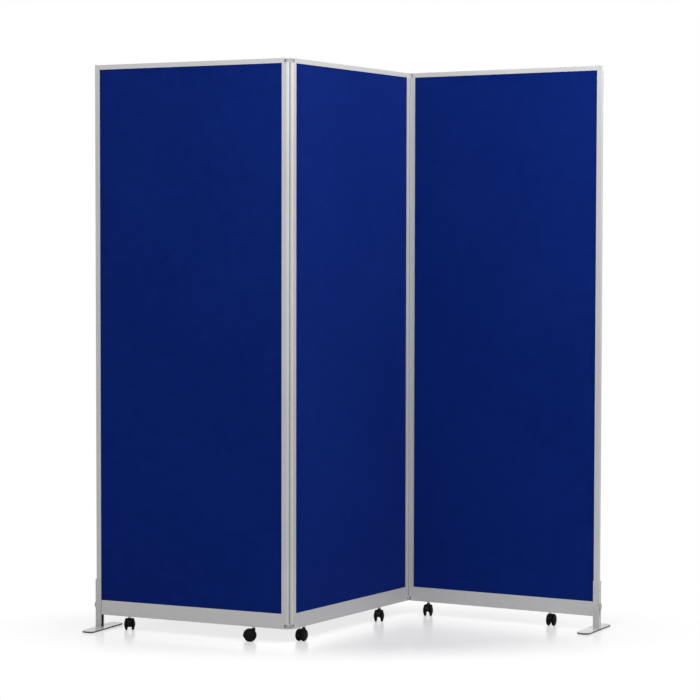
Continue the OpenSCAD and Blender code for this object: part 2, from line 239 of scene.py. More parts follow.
def vector_maths(tree, operation, *values):
    """A Vector Math node, whose result comes back as a socket."""
    return node(tree, "ShaderNodeVectorMath", enumerate(values), operation=operation).outputs[0]


def vector(tree, x=0.0, y=0.0, z=0.0):
    """A vector of three values or sockets."""
    return node(tree, "ShaderNodeCombineXYZ", {0: x, 1: y, 2: z}).outputs[0]


def noise(tree, where, scale, detail=2.0, roughness=0.5):
    """A Noise texture's grey value."""
    settings = {"Vector": where, "Scale": scale, "Detail": detail, "Roughness": roughness}
    return node(tree, "ShaderNodeTexNoise", settings).outputs[0]


def spread(tree, value, low, high, to_low=0.0, to_high=1.0, easing="LINEAR"):
    """A Map Range node from one span to another."""
    span = {0: value, 1: low, 2: high, 3: to_low, 4: to_high}
    return node(tree, "ShaderNodeMapRange", span, interpolation_type=easing).outputs[0]


def blend(tree, factor, first, second):
    """Mixes two colours, each of them red, green and blue or a socket."""
    mix = node(tree, "ShaderNodeMix", data_type="RGBA")
    fill(tree, mix.inputs[0], factor)
    for where, value in ((6, first), (7, second)):
        fill(tree, mix.inputs[where], (*value, 1) if isinstance(value, tuple) else value)
    return mix.outputs[2]


print("node helpers ready")

# %% [markdown]
# ## Shader groups
# An effect that several finishes share is built once, as a node group with named inputs and
# outputs. Each material then places the group with its own values. A group puts out only
# masks, tones and heights. The shader itself stays in the material.

# %% Start a group
def new_group(name, inputs, outputs):
    """Makes an empty shader group with the named sockets."""
    group = bpy.data.node_groups.new(name, "ShaderNodeTree")
    for label, kind, value in inputs:
        socket = group.interface.new_socket(label, in_out="INPUT", socket_type=f"NodeSocket{kind}")
        if value is not None:
            socket.default_value = value
    for label in outputs:
        group.interface.new_socket(label, in_out="OUTPUT", socket_type="NodeSocketFloat")
    source = group.nodes.new("NodeGroupInput")
    sink = group.nodes.new("NodeGroupOutput")
    return group, source.outputs, sink.inputs


print("groups can be started")

# %% [markdown]
# ### Drawn grain
# An extruded bar carries fine lines along its length, from the die and from the brushing
# before it is anodised. A noise that is squeezed across the bar and stretched along it gives
# the same look. The group takes the stretch as a vector, so that uprights and rails can both
# use it.

# %% Build the drawn grain
LINE_SHARE = 0.55

grain, g_in, g_out = new_group(
    "drawn_grain",
    [
        ("Vector", "Vector", None),
        ("Stretch", "Vector", (1.0, 1.0, 1.0)),
        ("Patch Scale", "Float", 1.5),
    ],
    ["Height", "Tone"],
)
stretched = vector_maths(grain, "MULTIPLY", g_in["Vector"], g_in["Stretch"])
lines = noise(grain, stretched, scale=1.0, detail=3.0, roughness=0.6)
patches = noise(grain, g_in["Vector"], scale=g_in["Patch Scale"])
line_part = maths(grain, "MULTIPLY", lines, LINE_SHARE)
patch_part = maths(grain, "MULTIPLY", patches, 1.0 - LINE_SHARE)
grain.links.new(lines, g_out["Height"])
grain.links.new(maths(grain, "ADD", line_part, patch_part), g_out["Tone"])
print("drawn_grain has", len(grain.nodes), "nodes")

# %% [markdown]
# ### Woven cloth
# Partition cloth is a plain weave of thick, dull yarn. Two sets of ribs, one across and one
# along, take turns on top, like a chessboard. The group draws that from the cloth's own UV
# map, which is in metres, and bends the ribs a little so that no two yarns are alike.

# %% Build the weave
YARNS_PER_METRE = 900.0
WANDER = (0.0012, 0.0012, 0.0)
MOTTLE_SHARE = 0.6

weave, w_in, w_out = new_group(
    "plain_weave",
    [
        ("Vector", "Vector", None),
        ("Yarns per Metre", "Float", YARNS_PER_METRE),
        ("Slub", "Float", 0.35),
    ],
    ["Height", "Tone", "Fuzz"],
)
drift = node(weave, "ShaderNodeTexNoise", {"Vector": w_in["Vector"], "Scale": 60.0, "Detail": 2.0})
centred = vector_maths(weave, "SUBTRACT", drift.outputs["Color"], (0.5, 0.5, 0.5))
nudge = vector_maths(weave, "MULTIPLY", centred, WANDER)
bent = vector_maths(weave, "ADD", w_in["Vector"], nudge)
parts = node(weave, "ShaderNodeSeparateXYZ", {0: bent}).outputs
waves = []
for along in (parts[0], parts[1]):
    yarns = maths(weave, "MULTIPLY", along, w_in["Yarns per Metre"])
    waves.append(maths(weave, "SINE", maths(weave, "MULTIPLY", yarns, math.pi)))
rib_u, rib_v = [maths(weave, "ABSOLUTE", wave) for wave in waves]
over = maths(weave, "GREATER_THAN", maths(weave, "MULTIPLY", *waves), 0.0)
warp = maths(weave, "MULTIPLY", rib_u, over)
weft = maths(weave, "MULTIPLY", rib_v, maths(weave, "SUBTRACT", 1.0, over))
slub = noise(weave, w_in["Vector"], scale=300.0, detail=3.0, roughness=0.7)
lumps = maths(weave, "MULTIPLY", slub, w_in["Slub"])
mottle = noise(weave, w_in["Vector"], scale=24.0, detail=5.0, roughness=0.65)
broad = noise(weave, w_in["Vector"], scale=2.2)
mottle_part = maths(weave, "MULTIPLY", mottle, MOTTLE_SHARE)
broad_part = maths(weave, "MULTIPLY", broad, 1.0 - MOTTLE_SHARE)
weave.links.new(maths(weave, "ADD", maths(weave, "MAXIMUM", warp, weft), lumps), w_out["Height"])
weave.links.new(maths(weave, "ADD", mottle_part, broad_part), w_out["Tone"])
weave.links.new(slub, w_out["Fuzz"])
print("plain_weave has", len(weave.nodes), "nodes")

# %% [markdown]
# ### Moulded and coated grain
# Moulded plastic and powder coat share a fine pebbled skin. The group gives its height and a
# slow change of tone, and each finish sets how fine it is.

# %% Build the pebbled skin
pebble, p_in, p_out = new_group(
    "pebbled_skin",
    [
        ("Vector", "Vector", None),
        ("Grain per Metre", "Float", 900.0),
        ("Patch Scale", "Float", 20.0),
    ],
    ["Height", "Tone"],
)
skin = noise(pebble, p_in["Vector"], scale=p_in["Grain per Metre"])
blotch = noise(pebble, p_in["Vector"], scale=p_in["Patch Scale"], detail=3.0)
pebble.links.new(skin, p_out["Height"])
pebble.links.new(blotch, p_out["Tone"])
print("pebbled_skin has", len(pebble.nodes), "nodes")

# %% [markdown]
# ### Floor wear
# Wheels, feet and kick rails get dusty and scuffed low down. The group gives a mask that is
# strongest at the floor, fades with height, and is broken up by noise.

# %% Build the floor wear
PATCHES_FROM, PATCHES_TO = 0.42, 0.68

wear, d_in, d_out = new_group(
    "floor_wear",
    [
        ("Vector", "Vector", None),
        ("Fade Height", "Float", 0.12),
        ("Amount", "Float", 0.5),
    ],
    ["Mask"],
)
level = node(wear, "ShaderNodeSeparateXYZ", {0: d_in["Vector"]}).outputs[2]
height_share = maths(wear, "DIVIDE", level, d_in["Fade Height"])
near_floor = spread(wear, height_share, 0.0, 1.0, to_low=1.0, to_high=0.0, easing="SMOOTHSTEP")
specks = noise(wear, d_in["Vector"], scale=85.0, detail=5.0, roughness=0.7)
broken = spread(wear, specks, PATCHES_FROM, PATCHES_TO)
scuffs = maths(wear, "MULTIPLY", near_floor, broken)
wear.links.new(maths(wear, "MULTIPLY", scuffs, d_in["Amount"], clamp=True), d_out["Mask"])
print("floor_wear has", len(wear.nodes), "nodes")

# %% [markdown]
# ## Finishes
# Every finish starts from the same bare material: one Principled shader and the object's
# coordinates. A tone from a group moves the colour and the roughness a little, and a height
# feeds a Bump node. Values that are the same all over are typed into the shader's sockets.
# A noise seldom leaves the middle of its range, so that middle is spread over the whole tint.

# %% Start a finish
NOISE_LOW = 0.3
NOISE_HIGH = 0.7


def bare_finish(name, **constant):
    """A new material with its shader and the object's coordinates."""
    material = bpy.data.materials.new(name)
    material.use_nodes = True
    tree = material.node_tree
    shader = tree.nodes["Principled BSDF"]
    for label, value in constant.items():
        shader.inputs[label.replace("_", " ")].default_value = value
    place = node(tree, "ShaderNodeTexCoord").outputs
    return material, tree, shader, place


def use_group(tree, group, **values):
    """Places a node group and fills its inputs."""
    made = node(tree, "ShaderNodeGroup", node_tree=group)
    for label, value in values.items():
        fill(tree, made.inputs[label.replace("_", " ")], value)
    return made.outputs


def tint(tree, shader, tone, dark, light, low=NOISE_LOW, high=NOISE_HIGH):
    """Moves the base colour between two colours."""
    colour = blend(tree, spread(tree, tone, low, high), dark, light)
    tree.links.new(colour, shader.inputs["Base Color"])
    return colour


def scuff(tree, shader, where, colour, rough, amount, height, scuffed, rise):
    """Changes the colour low down, and returns the raised roughness."""
    mask = use_group(tree, wear, Vector=where, Fade_Height=height, Amount=amount)["Mask"]
    tree.links.new(blend(tree, mask, colour, scuffed), shader.inputs["Base Color"])
    return maths(tree, "ADD", rough, maths(tree, "MULTIPLY", mask, rise))


def bump(tree, shader, height, strength, depth):
    """Feeds a height to the shader as a bump."""
    made = node(tree, "ShaderNodeBump", {"Strength": strength, "Distance": depth, "Height": height})
    tree.links.new(made.outputs[0], shader.inputs["Normal"])


def grey(value):
    """A neutral colour, as red, green and blue."""
    return (value, value, value)


print("finish helpers ready")

# %% [markdown]
# ### Anodised aluminium
# The frame's bars are satin anodised: a pale, matt silver with fine lines along the bar. The
# film over the metal makes it look closer to grey paint than to bare metal, so the metallic
# value stays part-way. A rail's lines run along its panel, so a Mapping node turns the
# pattern by the panel's own heading.

# %% Make the aluminium finishes
UPRIGHT_GRAIN = (1400.0, 1400.0, 6.0)
RAIL_GRAIN = (6.0, 1400.0, 1400.0)
RAIL_SCUFF_TOP = 0.16
RAIL_SCUFF = grey(0.24)


def anodised(name, stretch, dark, light, turn=0.0, wear_amount=0.0):
    """Satin anodised bar, with its grain stretched along one axis."""
    material, tree, shader, place = bare_finish(name, Metallic=0.3, IOR=1.5)
    turned = node(tree, "ShaderNodeMapping", vector_type="TEXTURE",
                  inputs={"Vector": place["Object"], "Rotation": (0, 0, turn)}).outputs[0]
    marks = use_group(tree, grain, Vector=turned, Stretch=stretch, Patch_Scale=2.0)
    colour = tint(tree, shader, marks["Tone"], dark, light)
    rough = spread(tree, marks["Height"], 0.25, 0.75, to_low=0.42, to_high=0.52)
    if wear_amount:
        rough = scuff(tree, shader, place["Object"], colour, rough,
                      wear_amount, RAIL_SCUFF_TOP, RAIL_SCUFF, rise=0.2)
    tree.links.new(rough, shader.inputs["Roughness"])
    bump(tree, shader, marks["Height"], strength=0.25, depth=0.0001)
    return material


stile_silver = anodised("stile_silver", UPRIGHT_GRAIN, grey(0.44), grey(0.53))
rail_silver = {}
kick_silver = {}
for name in PANELS:
    heading = math.radians(TURN[name])
    rail_silver[name] = anodised(
        f"rail_silver_{name}", RAIL_GRAIN, grey(0.46), grey(0.55), turn=heading)
    kick_silver[name] = anodised(
        f"kick_silver_{name}", RAIL_GRAIN, grey(0.47), grey(0.53), turn=heading, wear_amount=0.15)
print("aluminium finishes:", 1 + len(rail_silver) + len(kick_silver))

# %% [markdown]
# ### Plastics, steels and rubber
# The corner blocks and the clamp knobs are grey nylon, and the casters are satin black nylon,
# a little shinier on the disc than on the tread. The feet are powder-coated steel on rubber
# pads, and the dark grey on their plates' rims is painted shade. The hinges' links are plain
# steel, and the stems, pins and sockets are zinc-plated. All of them carry the pebbled skin at
# their own fineness.

# %% Write the coated recipe
ROUGH_BELOW = 0.04
ROUGH_ABOVE = 0.05


def coated(name, dark, light, rough, per_metre, depth,
           wear_amount=0.0, wear_colour=None, wear_high=None, **constant):
    """Moulded plastic, powder coat or plate."""
    material, tree, shader, place = bare_finish(name, **constant)
    marks = use_group(tree, pebble, Vector=place["Object"],
                      Grain_per_Metre=per_metre, Patch_Scale=30.0)
    colour = tint(tree, shader, marks["Tone"], dark, light)
    value = spread(tree, marks["Tone"], NOISE_LOW, NOISE_HIGH,
                   to_low=rough - ROUGH_BELOW, to_high=rough + ROUGH_ABOVE)
    if wear_amount:
        value = scuff(tree, shader, place["Object"], colour, value,
                      wear_amount, wear_high, wear_colour, rise=0.3)
    tree.links.new(value, shader.inputs["Roughness"])
    bump(tree, shader, marks["Height"], strength=0.3, depth=depth)
    return material


print("recipe ready")

# %% Make the plastics
corner_nylon = coated(
    "corner_nylon", grey(0.46), grey(0.53), rough=0.5, per_metre=1600.0, depth=0.00005)
knob_nylon = coated(
    "knob_nylon", grey(0.32), grey(0.38), rough=0.45, per_metre=1300.0, depth=0.00006)
caster_nylon = coated(
    "caster_nylon", grey(0.0035), grey(0.0065), rough=0.38, per_metre=1400.0, depth=0.00003,
    wear_amount=0.25, wear_colour=grey(0.015), wear_high=0.03, Specular_IOR_Level=0.06)
tread_nylon = coated(
    "tread_nylon", grey(0.0045), grey(0.0075), rough=0.60, per_metre=900.0, depth=0.00006,
    wear_amount=0.30, wear_colour=grey(0.015), wear_high=0.02, Specular_IOR_Level=0.02)
pad_rubber = coated(
    "pad_rubber", grey(0.006), grey(0.010), rough=0.8, per_metre=900.0, depth=0.00008,
    Specular_IOR_Level=0.1)
print("plastics ready")

# %% Make the steels, the painted shade finishes and the board
foot_coat = coated(
    "foot_coat", grey(0.44), grey(0.50), rough=0.26, per_metre=1100.0, depth=0.00004,
    wear_amount=0.2, wear_colour=grey(0.32), wear_high=0.02)
# The rims' dark grey is painted shade on the plates' edges.
foot_rim_painted_shade = coated(
    "foot_rim_painted_shade", grey(0.085), grey(0.115), rough=0.5, per_metre=900.0, depth=0.00006,
    Specular_IOR_Level=0.2)
zinc_plate = coated(
    "zinc_plate", grey(0.50), grey(0.60), rough=0.35, per_metre=700.0, depth=0.00003,
    Metallic=0.6)
link_steel = coated(
    "link_steel", grey(0.30), grey(0.36), rough=0.4, per_metre=900.0, depth=0.00004,
    Metallic=0.3)
weld_bead = coated(
    "weld_bead", grey(0.42), grey(0.5), rough=0.4, per_metre=600.0, depth=0.0001)
# A dark grey that paints the shade inside the feet's sleeves.
sleeve_painted_shade = coated(
    "sleeve_painted_shade", grey(0.030), grey(0.045), rough=0.9, per_metre=900.0, depth=0.0001,
    Specular_IOR_Level=0.1)
board_fibre = coated(
    "board_fibre", (0.36, 0.25, 0.15), (0.46, 0.34, 0.21),
    rough=0.85, per_metre=500.0, depth=0.0002)
print("steels, felt and board ready")

# %% [markdown]
# ### Blue cloth
# The cloth is a deep, slightly red blue with a dull face. It is close-woven, so from across a
# room it looks even, with faint mottling. A little sheen on the shader stands for the fuzz on
# the yarn, which pales the cloth where it is seen at a slant.

# %% Make the cloth finish
DEEP_BLUE = (0.0017, 0.0124, 0.126)
PALE_BLUE = (0.0034, 0.0172, 0.161)
SHEEN_BLUE = (0.55, 0.65, 1.0, 1)

blue_cloth, tree, shader, place = bare_finish(
    "blue_cloth", Sheen_Weight=0.01, Sheen_Roughness=0.45, Sheen_Tint=SHEEN_BLUE,
    Specular_IOR_Level=0.03)
threads = use_group(tree, weave, Vector=place["UV"], Yarns_per_Metre=YARNS_PER_METRE, Slub=0.5)
tint(tree, shader, threads["Tone"], DEEP_BLUE, PALE_BLUE, low=0.32, high=0.68)
cloth_rough = spread(tree, threads["Fuzz"], 0.2, 0.8, to_low=0.8, to_high=0.95)
tree.links.new(cloth_rough, shader.inputs["Roughness"])
bump(tree, shader, threads["Height"], strength=0.5, depth=0.0004)
print("cloth finish ready")

# %% [markdown]
# ## Give the solids their finishes
# Most solids already have the right shape. Their meshes stay as they are, and only the
# material in their slot is changed. A solid's name ends with the kind of piece that it is.

# %% Dress the solids
FINISH_BY_ENDING = {
    "_stile": stile_silver,
    "_board": board_fibre,
    "_corner_blocks": corner_nylon,
    "_sockets": zinc_plate,
    "_pins": zinc_plate,
    "_links": link_steel,
    "_foot": foot_coat,
    "_pad": pad_rubber,
    "_knob": knob_nylon,
    "_body": caster_nylon,
    "_wheel_a": caster_nylon,
    "_wheel_b": caster_nylon,
}
for name in PANELS:
    FINISH_BY_ENDING[f"{name}_top_rail"] = rail_silver[name]
    FINISH_BY_ENDING[f"{name}_kick_rail"] = kick_silver[name]

dressed = 0
for name, solid in NODES.items():
    for ending, material in FINISH_BY_ENDING.items():
        if name.endswith(ending):
            solid.data.materials.clear()
            solid.data.materials.append(material)
            dressed += 1
print("dressed", dressed, "of", len(NODES), "solids")

# %% [markdown]
# ## The cloth
# Each panel has one cloth on its front and one on its back, pulled tight over the board and
# tucked into the frame's groove. A rule gives the shape: a flat grid that sinks a little just
# inside the frame, where the cloth turns into the groove, and that waves by a hair elsewhere.
# The grid is closer at the edges, where the shape changes. Solidify gives it its thickness.

# %% Set the cloth's rules
CLOTH_T = 0.0008
BOARD_HALF = 0.0045
TUCK = 0.005
SINK = 0.0005
SINK_REACH = 0.0028
BACKING = 0.0002
SLOW_WAVE = 0.00006
QUICK_WAVE = 0.00002
GRID_STEP = 0.014
EDGE_LINES = (0.0, 0.003, 0.0048, 0.0056, 0.0066, 0.0080, 0.0100, 0.0130, 0.0180, 0.0260)


def edge_spaced(length):
    """Places along a side, close at both ends and even between."""
    margin = EDGE_LINES[-1]
    count = round((length - 2 * margin) / GRID_STEP)
    even = [margin + (length - 2 * margin) * k / count for k in range(1, count)]
    return [*EDGE_LINES, *even, *(length - v for v in reversed(EDGE_LINES))]


def edge_sink(depth):
    """How far the cloth sinks at a distance from its edge."""
    inside = max(0.0, depth - TUCK)
    return SINK * math.exp(-((inside / SINK_REACH) ** 2))


def ripple(u, v, seed):
    """The slight unevenness of stretched cloth, in metres."""
    slow = math.sin(7.1 * u + 1.3 * seed) * math.sin(5.3 * v + 0.7 * seed)
    quick = math.sin(23.0 * u - 11.0 * v + 2.1 * seed)
    return SLOW_WAVE * slow + QUICK_WAVE * quick


print("cloth sinks", edge_sink(TUCK), "m at the frame")

# %% Weave the six cloths
def make_cloth(panel, side, seed):
    """One cloth: side is -1 on the front and 1 on the back."""
    width = OPENING_W + 2 * TUCK
    height = TOP_EDGE - KICK_TOP + 2 * TUCK
    across = edge_spaced(width)
    upward = edge_spaced(height)
    points = []
    for v in upward:
        for u in across:
            sink = max(edge_sink(min(u, width - u)), edge_sink(min(v, height - v)))
            depth = BOARD_HALF + CLOTH_T - sink + min(0.0, ripple(u, v, seed))
            points.append(AT[panel] @ Vector((u - TUCK, side * depth, v + KICK_TOP - TUCK)))
    faces = []
    wide = len(across)
    for row in range(len(upward) - 1):
        for column in range(wide - 1):
            a = row * wide + column
            corners = (a, a + 1, a + wide + 1, a + wide)
            faces.append(corners if side < 0 else corners[::-1])
    mesh = bpy.data.meshes.new(f"cloth_{panel}")
    mesh.from_pydata(points, [], faces)
    flat = mesh.uv_layers.new(name="cloth_metres")
    for loop in mesh.loops:
        row, column = divmod(loop.vertex_index, wide)
        flat.data[loop.index].uv = (across[column], upward[row])
    mesh.polygons.foreach_set("use_smooth", [True] * len(faces))
    mesh.materials.append(blue_cloth)
    cloth = link(f"cloth_{panel}_{'front' if side < 0 else 'back'}", mesh)
    thick = cloth.modifiers.new("thickness", "SOLIDIFY")
    thick.thickness = CLOTH_T - SINK + BACKING
    thick.offset = -1
    settle(cloth)
    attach(cloth, f"{panel}_panel")
    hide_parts(f"{panel}_fabric")
    return cloth


cloths = []
for place_in_row, panel in enumerate(PANELS):
    for side in (-1, 1):
        cloths.append(make_cloth(panel, side, seed=3 * place_in_row + side))
print("cloths", len(cloths), "faces each", len(cloths[0].data.polygons))

# %% [markdown]
# ## Soft edges
# Real sheet metal and mouldings have no knife edges, and the thin highlight along a soft edge
# is most of what makes them look solid. A copy of the solid has its loose triangles merged
# and its flat faces joined, and then a Bevel modifier rounds only the sharp edges. Weighted
# normals keep the flat faces between them level.

# %% Soften copies of the solids
PLATE_EDGE = 0.0005
KNOB_EDGE = 0.0007
CAP_EDGE = 0.0003
HOUSING_EDGE = 0.0006
SHARP_FROM = math.radians(32)
FLAT_WITHIN = math.radians(0.6)
SAME_POINT = 0.000004


def soften(node_name, piece_name, width, segments=3):
    """A copy of a solid with its sharp edges rounded, in that solid's place."""
    shape = bmesh.new()
    shape.from_mesh(NODES[node_name].data)
    bmesh.ops.remove_doubles(shape, verts=shape.verts, dist=SAME_POINT)
    bmesh.ops.dissolve_limit(
        shape, angle_limit=FLAT_WITHIN, verts=shape.verts, edges=shape.edges)
    mesh = bpy.data.meshes.new(piece_name)
    shape.to_mesh(mesh)
    shape.free()
    mesh.materials.clear()
    mesh.materials.append(NODES[node_name].data.materials[0])
    piece = link(piece_name, mesh)
    rounding = piece.modifiers.new("rounding", "BEVEL")
    rounding.width = width
    rounding.segments = segments
    rounding.limit_method = "ANGLE"
    rounding.angle_limit = SHARP_FROM
    rounding.use_clamp_overlap = True
    settle(piece)
    smooth(piece.data, crease=38)
    level = piece.modifiers.new("level_shading", "WEIGHTED_NORMAL")
    level.keep_sharp = True
    settle(piece)
    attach(piece, body_of_node(node_name))
    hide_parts(node_name)
    return piece


softened = []
for side in ("left", "right"):
    softened.append(soften(
        f"{side}_foot", f"{side}_foot_plate", PLATE_EDGE))
    softened.append(soften(
        f"{side}_foot_knob", f"{side}_clamp_knob", KNOB_EDGE))
for panel in PANELS:
    softened.append(soften(
        f"{panel}_corner_blocks", f"{panel}_corner_caps", CAP_EDGE, segments=2))
for number in range(1, 7):
    softened.append(soften(
        f"caster_{number}_body", f"caster_{number}_housing", HOUSING_EDGE))
print("softened", len(softened), "pieces")

# %% [markdown]
# ## The feet's rims and the sleeves' painted shade
# The faces round each floor plate's edge get their own dark finish, which is painted shade on the
# rim. Inside each sleeve, below the stile, a thin dark sheet paints the shade of the channel, and
# it shows as a dark slit beside the sleeve.

# %% Start the feet
SLEEVE_OUT = 0.0023
SLEEVE_HALF = 0.0093
SLEEVE_T = 0.002
PLATE_TOP = 0.006
RIM_MARGIN = 0.0002
FACES_UP = 0.5
SHADE_SHEET_T = 0.00015
SHADE_SHEET_END = 0.0155
SHADE_SHEET_LOW = PLATE_TOP + 0.0001
SHADE_SHEET_TOP = 0.0445


def box_mesh(name, frame_matrix, spans, material):
    """Boxes in a panel's frame, each given as its low and high corner."""
    shape = bmesh.new()
    for low, high in spans:
        size = Vector(high) - Vector(low)
        place = Matrix.Translation((Vector(low) + Vector(high)) / 2) @ Matrix.Diagonal((*size, 1))
        bmesh.ops.create_cube(shape, size=1, matrix=place)
    shape.transform(frame_matrix)
    bmesh.ops.recalc_face_normals(shape, faces=shape.faces)
    mesh = bpy.data.meshes.new(name)
    shape.to_mesh(mesh)
    shape.free()
    mesh.materials.append(material)
    return link(name, mesh)


def outer_end(side):
    """The frame of a foot: x runs inward from the panel's outer edge."""
    if side == "left":
        return AT["left"] @ Matrix.Translation((-STILE_W, 0, 0))
    far_edge = Matrix.Translation((OPENING_W + STILE_W, 0, 0))
    return AT["right"] @ far_edge @ Matrix.Scale(-1, 4, (1, 0, 0))


print("a liner is", SHADE_SHEET_TOP - SHADE_SHEET_LOW, "m high")

# %% Paint shade on the rims and inside the sleeves
for side in ("left", "right"):
    plate = bpy.data.objects[f"{side}_foot_plate"]
    # The faces round the plate's edge get a dark grey that is painted shade.
    plate.data.materials.append(foot_rim_painted_shade)
    for face in plate.data.polygons:
        if face.center.z < PLATE_TOP - RIM_MARGIN and face.normal.z < FACES_UP:
            face.material_index = 1
    back, wall = SLEEVE_OUT - SLEEVE_T, SLEEVE_HALF - SLEEVE_T
    low, high = SHADE_SHEET_LOW, SHADE_SHEET_TOP
    # Three thin dark sheets inside the sleeve paint the shade of the channel.
    shade_sheet = box_mesh(f"{side}_foot_shade_sheet", outer_end(side), [
        ((-back, -wall, low), (-back + SHADE_SHEET_T, wall, high)),
        ((-back + SHADE_SHEET_T, -wall, low), (SHADE_SHEET_END, -wall + SHADE_SHEET_T, high)),
        ((-back + SHADE_SHEET_T, wall - SHADE_SHEET_T, low), (SHADE_SHEET_END, wall, high)),
    ], sleeve_painted_shade)
    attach(shade_sheet, f"{side}_foot")
    print(shade_sheet.name, "faces", len(shade_sheet.data.polygons))

# %% [markdown]
# ## The wheels
# Each caster has two wheels on one axle. A wheel is a shape of revolution, so its section is
# drawn once, as radius and distance from the caster's middle, and turned round the axle. The
# disc follows a shallow dome, with one groove round its button and one beside the tread. The
# tread starts at a small lip and is a round arc. It is dull, and the disc is a little shinier,
# so the faces get two materials. Sizes in this cell are in millimetres.

# %% Draw the wheel's section
DOME_TOP = 18.16
DOME_R = 30.0
DISC = [
    (0.0, 0), (1.5, 0), (3.2, 0),
    (3.75, 0.19), (3.95, 0.44), (4.25, 0.50), (4.55, 0.38), (4.9, 0.09),
    (6.5, 0), (9.0, 0), (11.5, 0), (13.0, 0), (13.7, 0),
    (14.05, 0.07), (14.3, 0.25), (14.55, 0.27), (14.85, 0.03),
]
TREAD_LIP = (15.3, 14.5)
TREAD_R = 3.8
TREAD_MIDDLE = (15.7, 10.8)
TREAD_ANGLES = range(80, -81, -16)
WHEEL_BACK = [
    (15.4, 7.0), (15.05, 7.15), (15.0, 11.4), (5.6, 11.4), (5.5, 7.1), (5.3, 7.0), (2.7, 7.0),
    (2.55, 7.15), (2.55, 14.6), (0.0, 14.6),
]


def dome(radius):
    """How far out the disc's dome stands at a radius."""
    return DOME_TOP - DOME_R + math.sqrt(DOME_R ** 2 - radius ** 2)


def on_tread(degrees):
    """A point of the tread's arc."""
    angle = math.radians(degrees)
    radius, out = TREAD_MIDDLE
    return (radius + TREAD_R * math.cos(angle), out + TREAD_R * math.sin(angle))


disc_points = [(radius, dome(radius) - groove) for radius, groove in DISC]
tread_points = [TREAD_LIP] + [on_tread(degrees) for degrees in TREAD_ANGLES]
WHEEL_SECTION = disc_points + tread_points + WHEEL_BACK
TREAD_BANDS = range(len(disc_points), len(disc_points) + len(tread_points) - 1)
print("wheel section has", len(WHEEL_SECTION), "points")

# %% [markdown]
# The ribs behind the disc repeat round a circle, so a Geometry Nodes tree makes them. It makes
# one bar, spreads copies on the points of a circle, and turns each copy to face the axle. The
# sizes are named inputs, so that the same tree could rib any wheel.

# %% Start a Geometry Nodes tree
def new_tree(name, inputs):
    """A Geometry Nodes tree with named inputs and one geometry output."""
    tree = bpy.data.node_groups.new(name, "GeometryNodeTree")
    tree.interface.new_socket("Geometry", in_out="OUTPUT", socket_type="NodeSocketGeometry")
    for label, kind, value in inputs:
        socket = tree.interface.new_socket(label, in_out="INPUT", socket_type=f"NodeSocket{kind}")
        if value is not None:
            socket.default_value = value
    return tree, tree.nodes.new("NodeGroupInput").outputs, tree.nodes.new("NodeGroupOutput").inputs


def finish_tree(tree, shape, material, sink):
    """Makes a tree's copies real, gives them a material, and puts them out."""
    solid = node(tree, "GeometryNodeRealizeInstances", {"Geometry": shape}).outputs[0]
    dressed = node(tree, "GeometryNodeSetMaterial", {"Geometry": solid, "Material": material})
    tree.links.new(dressed.outputs[0], sink["Geometry"])


def run_tree(name, tree, values):
    """Runs a tree on an empty object, and returns the plain mesh."""
    holder = link(name, bpy.data.meshes.new(name))
    modifier = holder.modifiers.new("tree", "NODES")
    modifier.node_group = tree
    for item in tree.interface.items_tree:
        if item.item_type == "SOCKET" and item.in_out == "INPUT" and item.name in values:
            modifier[item.identifier] = values[item.name]
    settle(holder)
    mesh = holder.data
    bpy.data.objects.remove(holder)
    return mesh


print("trees can be started")

# %% Build the rib tree
ribs, r_in, r_out = new_tree("rib_ring", [
    ("Count", "Int", 8), ("Inner Radius", "Float", 0.005), ("Outer Radius", "Float", 0.015),
    ("Thickness", "Float", 0.001), ("Depth", "Float", 0.003), ("Level", "Float", 0.009),
    ("Finish", "Material", None),
])
reach = maths(ribs, "SUBTRACT", r_in["Outer Radius"], r_in["Inner Radius"])
both = maths(ribs, "ADD", r_in["Outer Radius"], r_in["Inner Radius"])
middle = maths(ribs, "MULTIPLY", both, 0.5)
bar_size = vector(ribs, reach, r_in["Thickness"], r_in["Depth"])
bar = node(ribs, "GeometryNodeMeshCube", {"Size": bar_size}).outputs["Mesh"]
ring = node(ribs, "GeometryNodeMeshCircle", {"Vertices": r_in["Count"], "Radius": middle})
outward = node(ribs, "GeometryNodeInputPosition").outputs[0]
facing = node(ribs, "FunctionNodeAlignRotationToVector", {"Vector": outward}, axis="X").outputs[0]
copies = node(ribs, "GeometryNodeInstanceOnPoints", {
    "Points": ring.outputs["Mesh"], "Instance": bar, "Rotation": facing}).outputs[0]
raised = node(ribs, "GeometryNodeTransform", {
    "Geometry": copies, "Translation": vector(ribs, z=r_in["Level"])}).outputs[0]
finish_tree(ribs, raised, r_in["Finish"], r_out)

rib_mesh = run_tree("wheel_ribs", ribs, {
    "Count": 8, "Inner Radius": 0.0053, "Outer Radius": 0.0152, "Thickness": 0.0011,
    "Depth": 0.0032, "Level": 0.0098, "Finish": caster_nylon,
})
print("rib ring has", len(rib_mesh.polygons), "faces")

# %% [markdown]
# A wheel's own frame has the axle along z. The section is turned into rings of points, and
# each pair of rings is joined by a band of faces.

# %% Turn a wheel
TURN_STEPS = 72
MM_PER_METRE = 1000


def ring_of_points(shape, radius, out):
    """The points of one ring, or the single point on the axle."""
    radius, out = radius / MM_PER_METRE, out / MM_PER_METRE
    if radius == 0:
        return [shape.verts.new((0, 0, out))]
    points = []
    for step in range(TURN_STEPS):
        a = 2 * math.pi * step / TURN_STEPS
        points.append(shape.verts.new((radius * math.cos(a), radius * math.sin(a), out)))
    return points


def band(first, second, step):
    """The corners of one face between two rings."""
    following = (step + 1) % TURN_STEPS
    if len(first) == 1:
        return (first[0], second[step], second[following])
    if len(second) == 1:
        return (first[step], second[0], first[following])
    return (first[step], second[step], second[following], first[following])


